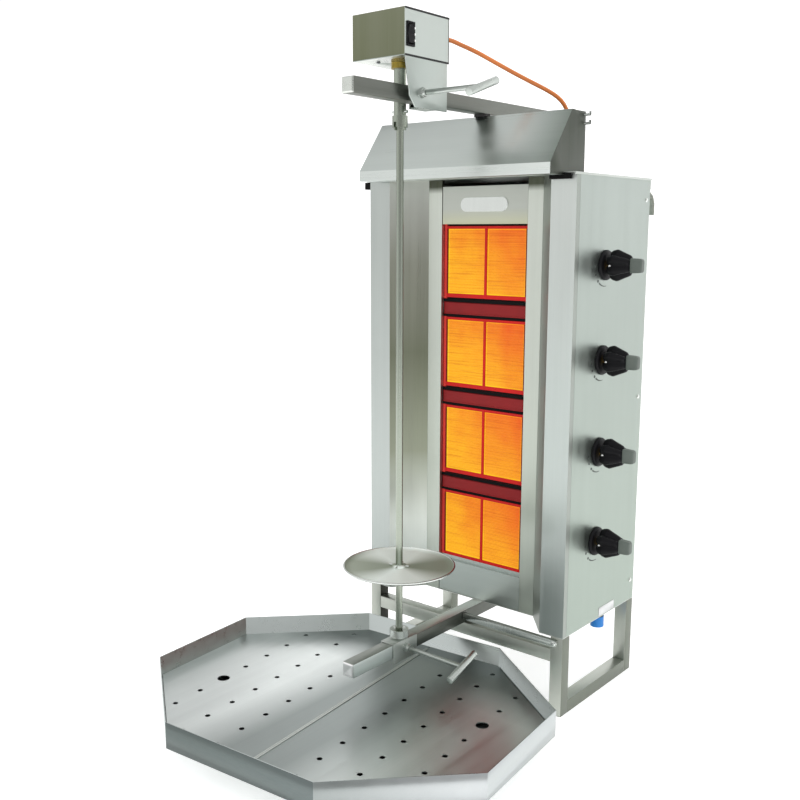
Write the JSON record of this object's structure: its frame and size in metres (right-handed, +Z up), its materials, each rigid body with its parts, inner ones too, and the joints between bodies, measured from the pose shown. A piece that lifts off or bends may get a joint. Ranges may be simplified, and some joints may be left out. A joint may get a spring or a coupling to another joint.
{
  "type": "gas vertical rotisserie oven",
  "caption": "Free-standing gas vertical rotisserie oven: burner cabinet on a tube frame, motor-driven upright spit with meat disc, and a loose octagonal drip tray.",
  "frame": {"origin": "centre of the floor area under the machine, on the floor", "axes": "+Z up, front with the burners and tray -Y, +X to the right, where the knobs are"},
  "size_m": [0.6902, 0.8539, 1.181],
  "materials": {
    "sheet_steel": "brushed stainless sheet",
    "frame_steel": "satin square tube, darker than the sheet",
    "bright_steel": "bright machined and polished bar",
    "burner_red": "heat-proof red, satin",
    "ceramic": "orange perforated ceramic, matt",
    "brass": "machined",
    "copper": "drawn copper tube",
    "black_plastic": "black moulded, semi-matt",
    "blue_plastic": "blue moulded cap",
    "label_metal": "thin blank plate, satin",
    "rubber_pad": "black, matt",
    "black_paint": "black, satin",
    "motor_iron": "grey, painted",
    "lead_orange": "orange flexible sheath, satin"
  },
  "bodies": {
    "cabinet": {"frame_legs": "frame_steel", "floor_runners": "frame_steel", "front_crossbar": "frame_steel", "front_stay": "frame_steel", "bottom_panel": "sheet_steel", "back_panel": "sheet_steel", "side_panel_left": "sheet_steel", "side_panel_right": "sheet_steel", "front_wings": "sheet_steel", "burner_frame": "sheet_steel", "trim_plates": "sheet_steel", "top_cap": "sheet_steel", "heat_hood": "sheet_steel", "hood_brackets": "black_paint", "burner_bodies": "burner_red", "ceramic_plaques": "ceramic", "burner_spacers": "burner_red", "gas_manifold": "frame_steel", "gas_valves": "brass", "gas_injectors": "brass", "thermocouples": "copper", "knob_bezels": "black_plastic", "gas_inlet_cap": "blue_plastic", "data_plate": "label_metal", "wall_spacers": "frame_steel", "upper_arm": "frame_steel", "arm_post": "frame_steel", "arm_pad": "rubber_pad", "lower_arm": "frame_steel", "panel_screws": "bright_steel", "lead_span": "lead_orange", "lead_coil": "lead_orange", "lead_tail": "lead_orange", "mains_plug": "black_plastic"},
    "motor_carriage": {"motor_cover": "sheet_steel", "motor_bracket": "sheet_steel", "gear_motor": "motor_iron", "shaft_bushing": "brass", "switch_bezel": "black_plastic", "cord_gland": "black_plastic"},
    "rocker": {"switch_rocker": "black_plastic"},
    "upper_clamp": {"upper_clamp_handle": "bright_steel"},
    "spit": {"drive_coupler": "bright_steel", "coupler_pins": "bright_steel", "spit_shaft": "bright_steel", "meat_disc": "sheet_steel"},
    "lower_carriage": {"lower_slider": "sheet_steel", "bearing_cup": "bright_steel"},
    "lower_clamp": {"lower_clamp_handle": "bright_steel"},
    "valve_1": {"valve_stem_1": "brass"},
    "valve_2": {"valve_stem_2": "brass"},
    "valve_3": {"valve_stem_3": "brass"},
    "valve_4": {"valve_stem_4": "brass"},
    "knob_1": {"knob_1": "black_plastic"},
    "knob_2": {"knob_2": "black_plastic"},
    "knob_3": {"knob_3": "black_plastic"},
    "knob_4": {"knob_4": "black_plastic"},
    "tray": {"drip_tray": "sheet_steel"},
    "insert_left": {"tray_insert_left": "sheet_steel"},
    "insert_right": {"tray_insert_right": "sheet_steel"}
  },
  "joints": [
    {"name": "motor_slide", "type": "slide", "parent": "cabinet", "child": "motor_carriage", "axis": [0, 1, 0], "range_m": [-0.08, 0.06], "deforming": ["lead_span"]},
    {"name": "lower_slide", "type": "slide", "parent": "cabinet", "child": "lower_carriage", "axis": [0, 1, 0], "range_m": [-0.08, 0.06]},
    {"name": "spit_turn", "type": "hinge", "parent": "motor_carriage", "child": "spit", "pos_m": [0.026, -0.037, 0.6], "axis": [0, 0, 1], "continuous": true},
    {"name": "upper_clamp_turn", "type": "hinge", "parent": "motor_carriage", "child": "upper_clamp", "pos_m": [0.106, -0.048, 1.06], "axis": [1, 0, 0], "range_deg": [-180, 180]},
    {"name": "lower_clamp_turn", "type": "hinge", "parent": "lower_carriage", "child": "lower_clamp", "pos_m": [0.106, -0.037, 0.134], "axis": [1, 0, 0], "range_deg": [-180, 180]},
    {"name": "rocker_tilt", "type": "hinge", "parent": "motor_carriage", "child": "rocker", "pos_m": [0.076, -0.076, 1.143], "axis": [0, 1, 0], "range_deg": [-10, 10]},
    {"name": "valve_push_1", "type": "slide", "parent": "cabinet", "child": "valve_1", "axis": [-1, 0, 0], "range_m": [0, 0.004], "stiffness_N_per_m": 1500},
    {"name": "knob_turn_1", "type": "hinge", "parent": "valve_1", "child": "knob_1", "pos_m": [0.2805, 0.247, 0.3], "axis": [1, 0, 0], "range_deg": [-90, 90]},
    {"name": "valve_push_2", "type": "slide", "parent": "cabinet", "child": "valve_2", "axis": [-1, 0, 0], "range_m": [0, 0.004], "stiffness_N_per_m": 1500},
    {"name": "knob_turn_2", "type": "hinge", "parent": "valve_2", "child": "knob_2", "pos_m": [0.2805, 0.247, 0.464], "axis": [1, 0, 0], "range_deg": [-90, 90]},
    {"name": "valve_push_3", "type": "slide", "parent": "cabinet", "child": "valve_3", "axis": [-1, 0, 0], "range_m": [0, 0.004], "stiffness_N_per_m": 1500},
    {"name": "knob_turn_3", "type": "hinge", "parent": "valve_3", "child": "knob_3", "pos_m": [0.2805, 0.247, 0.628], "axis": [1, 0, 0], "range_deg": [-90, 90]},
    {"name": "valve_push_4", "type": "slide", "parent": "cabinet", "child": "valve_4", "axis": [-1, 0, 0], "range_m": [0, 0.004], "stiffness_N_per_m": 1500},
    {"name": "knob_turn_4", "type": "hinge", "parent": "valve_4", "child": "knob_4", "pos_m": [0.2805, 0.247, 0.792], "axis": [1, 0, 0], "range_deg": [-90, 90]},
    {"name": "tray_slide", "type": "slide", "parent": "cabinet", "child": "tray", "axis": [0, -1, 0], "range_m": [0, 0.4]},
    {"name": "insert_left_lift", "type": "slide", "parent": "tray", "child": "insert_left", "axis": [0, 0, 1], "range_m": [0, 0.03]},
    {"name": "insert_right_lift", "type": "slide", "parent": "tray", "child": "insert_right", "axis": [0, 0, 1], "range_m": [0, 0.03]}
  ],
  "couplings": [
    {"joint": "lower_slide", "follows": "motor_slide", "ratio": 1}
  ]
}
